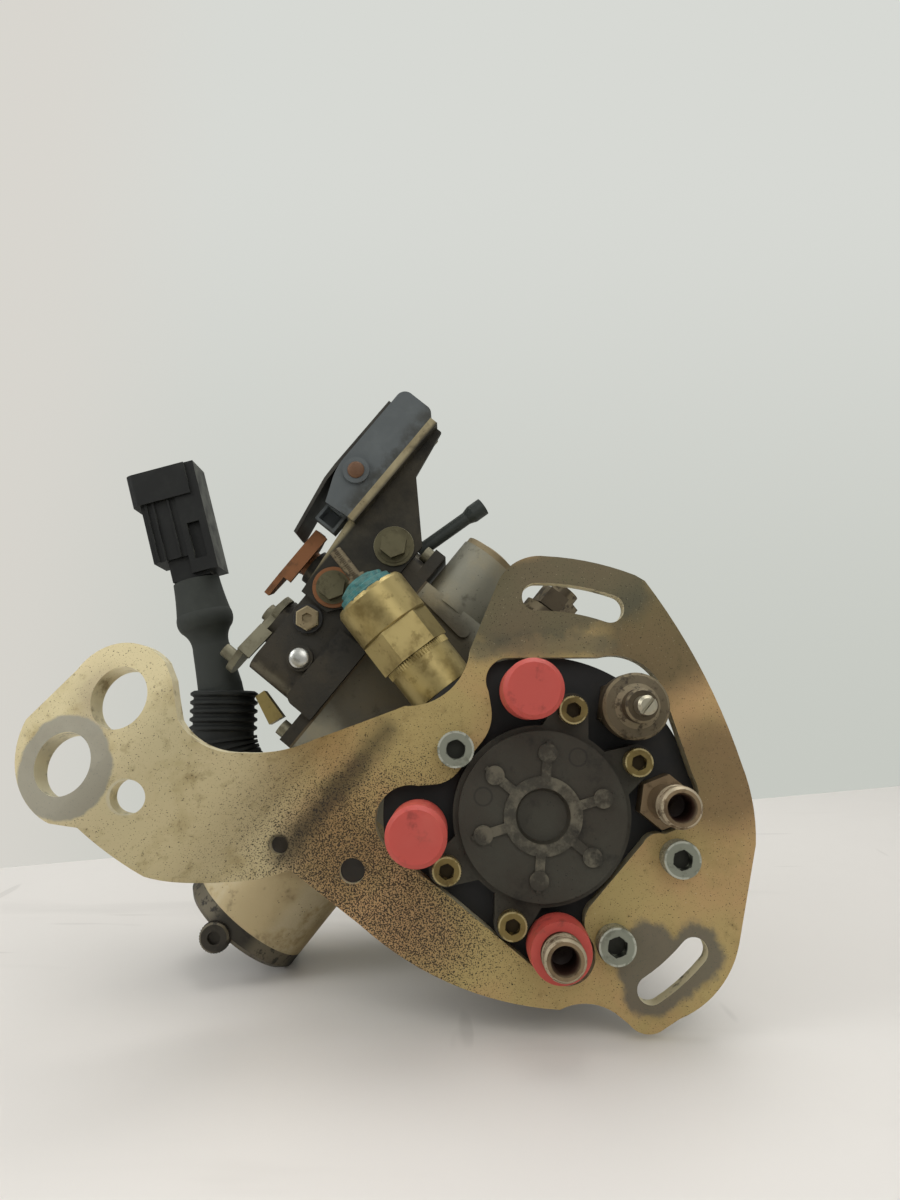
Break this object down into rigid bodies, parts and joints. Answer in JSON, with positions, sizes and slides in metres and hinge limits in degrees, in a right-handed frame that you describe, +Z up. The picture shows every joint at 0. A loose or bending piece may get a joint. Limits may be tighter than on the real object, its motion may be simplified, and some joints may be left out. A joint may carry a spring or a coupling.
{
  "type": "diesel injection pump",
  "caption": "Rotary diesel injection pump with a plated rear bracket, capped outlets, stop solenoid, throttle switch, timing-advance cylinder and sender lead.",
  "frame": {"origin": "centre of the pilot spigot, in the front mounting face", "axes": "+Y along the pump axis to the drive end, +Z up as the pump leans on its bracket, +X to the right seen from the outlets"},
  "size_m": [0.2572, 0.2025, 0.245],
  "materials": {
    "cast_aluminium": "rough cast, oil stained",
    "dark_cover": "dark grey cast, dusty",
    "black_head": "black, satin",
    "dark_plate": "dark grey die cast",
    "yellow_zinc": "yellow zinc plated, speckled",
    "zinc_screw": "bright zinc plated",
    "yellow_screw": "yellow zinc plated",
    "worn_steel": "brown, oily steel",
    "red_cap": "soft red plastic",
    "brass_can": "brushed gold plating",
    "teal_insulator": "teal moulding",
    "black_plastic": "black moulding",
    "grey_rubber": "grey rubber",
    "dark_sheet": "dark sheet",
    "copper_lever": "copper-brown plated",
    "ground_steel": "ground steel",
    "gasket_paper": "oiled gasket paper"
  },
  "bodies": {
    "pump": {"pump_housing": "cast_aluminium", "cover_gasket": "gasket_paper", "governor_cover": "dark_cover", "cover_screw_1": "zinc_screw", "cover_screw_2": "zinc_screw", "cover_screw_3": "zinc_screw", "cover_screw_4": "zinc_screw", "hydraulic_head": "black_head", "end_plate": "dark_plate", "end_plate_screw_1": "yellow_screw", "end_plate_screw_2": "yellow_screw", "end_plate_screw_3": "yellow_screw", "end_plate_screw_4": "yellow_screw", "rear_bracket": "yellow_zinc", "bracket_bolt_1": "zinc_screw", "bracket_bolt_2": "zinc_screw", "bracket_bolt_3": "zinc_screw", "outlet_union_1": "worn_steel", "outlet_union_2": "worn_steel", "outlet_union_3": "worn_steel", "outlet_union_4": "worn_steel", "outlet_collar": "red_cap", "regulator_body": "worn_steel", "solenoid_body": "brass_can", "solenoid_insulator": "teal_insulator", "terminal_stud": "worn_steel", "return_pipe": "black_plastic", "inlet_union": "worn_steel", "side_plug": "worn_steel", "switch_bracket": "yellow_zinc", "switch_body": "black_plastic", "switch_plate": "dark_sheet", "switch_bolt_1": "worn_steel", "switch_bolt_2": "worn_steel", "advance_housing": "cast_aluminium", "advance_cap": "cast_aluminium", "lead_gland": "black_plastic", "corrugated_sleeve": "grey_rubber", "cable_boot": "grey_rubber", "connector": "black_plastic", "shaft_seal": "grey_rubber", "shaft_bearing": "ground_steel"},
    "drive": {"drive_shaft": "ground_steel", "shaft_key": "ground_steel", "weight_cage": "ground_steel", "rotor": "ground_steel"},
    "weight_1": {"governor_weight_1": "ground_steel"},
    "weight_2": {"governor_weight_2": "ground_steel"},
    "thrust_sleeve": {"thrust_sleeve": "ground_steel"},
    "cam_ring": {"cam_ring": "ground_steel"},
    "advance_piston": {"advance_piston": "ground_steel"},
    "plunger_1": {"plunger_1": "ground_steel"},
    "plunger_2": {"plunger_2": "ground_steel"},
    "metering_valve": {"metering_valve": "ground_steel"},
    "throttle_lever": {"throttle_lever": "zinc_screw"},
    "idle_lever": {"idle_lever": "copper_lever"},
    "solenoid_plunger": {"solenoid_plunger": "ground_steel"},
    "cap_top": {"outlet_cap_top": "red_cap"},
    "cap_left": {"outlet_cap_left": "red_cap"},
    "adjuster": {"regulator_adjuster": "worn_steel"}
  },
  "joints": [
    {"name": "drive_shaft_turn", "type": "hinge", "parent": "pump", "child": "drive", "pos_m": [0, 0, 0], "axis": [0, 1, 0], "continuous": true},
    {"name": "sleeve_slide", "type": "slide", "parent": "drive", "child": "thrust_sleeve", "axis": [0, -1, 0], "range_m": [0, 0.003]},
    {"name": "weight_1_swing", "type": "hinge", "parent": "drive", "child": "weight_1", "pos_m": [-0.01865, -0.033, 0.0151], "axis": [-0.6293, 0, -0.7771], "range_deg": [0, 12]},
    {"name": "weight_2_swing", "type": "hinge", "parent": "drive", "child": "weight_2", "pos_m": [0.01865, -0.033, -0.0151], "axis": [0.6293, 0, 0.7771], "range_deg": [0, 12]},
    {"name": "advance_piston_slide", "type": "slide", "parent": "pump", "child": "advance_piston", "axis": [0.6293, 0, 0.7771], "range_m": [0, 0.01]},
    {"name": "cam_ring_turn", "type": "hinge", "parent": "pump", "child": "cam_ring", "pos_m": [0, -0.056, 0], "axis": [0, 1, 0], "range_deg": [0, 9.5]},
    {"name": "plunger_1_slide", "type": "slide", "parent": "drive", "child": "plunger_1", "axis": [0.6293, 0, 0.7771], "range_m": [0, 0.0015]},
    {"name": "plunger_2_slide", "type": "slide", "parent": "drive", "child": "plunger_2", "axis": [-0.6293, 0, -0.7771], "range_m": [0, 0.0015]},
    {"name": "metering_valve_turn", "type": "hinge", "parent": "pump", "child": "metering_valve", "pos_m": [-0.02331, -0.078, 0.01888], "axis": [-0.7771, 0, 0.6293], "range_deg": [-20, 20]},
    {"name": "throttle_lever_turn", "type": "hinge", "parent": "pump", "child": "throttle_lever", "pos_m": [-0.10606, -0.06, 0.07559], "axis": [-0.7771, 0, 0.6293], "range_deg": [0, 45], "stiffness_Nm_per_rad": 0.3},
    {"name": "idle_lever_turn", "type": "hinge", "parent": "pump", "child": "idle_lever", "pos_m": [-0.08844, -0.07, 0.09735], "axis": [-0.7771, 0, 0.6293], "range_deg": [0, 25]},
    {"name": "solenoid_plunger_slide", "type": "slide", "parent": "pump", "child": "solenoid_plunger", "axis": [-0.6157, 0, 0.788], "range_m": [0, 0.002], "stiffness_N_per_m": 600},
    {"name": "cap_top_pull", "type": "slide", "parent": "pump", "child": "cap_top", "axis": [0, -1, 0], "range_m": [0, 0.02]},
    {"name": "cap_left_pull", "type": "slide", "parent": "pump", "child": "cap_left", "axis": [0, -1, 0], "range_m": [0, 0.02]},
    {"name": "adjuster_turn", "type": "hinge", "parent": "pump", "child": "adjuster", "pos_m": [0.03278, -0.14, 0.03857], "axis": [0, -1, 0], "continuous": true}
  ],
  "couplings": [
    {"joint": "weight_1_swing", "follows": "sleeve_slide", "rad_per_m": 69.813},
    {"joint": "weight_2_swing", "follows": "sleeve_slide", "rad_per_m": 69.813},
    {"joint": "cam_ring_turn", "follows": "advance_piston_slide", "rad_per_m": 16.129},
    {"joint": "plunger_2_slide", "follows": "plunger_1_slide", "ratio": 1}
  ]
}
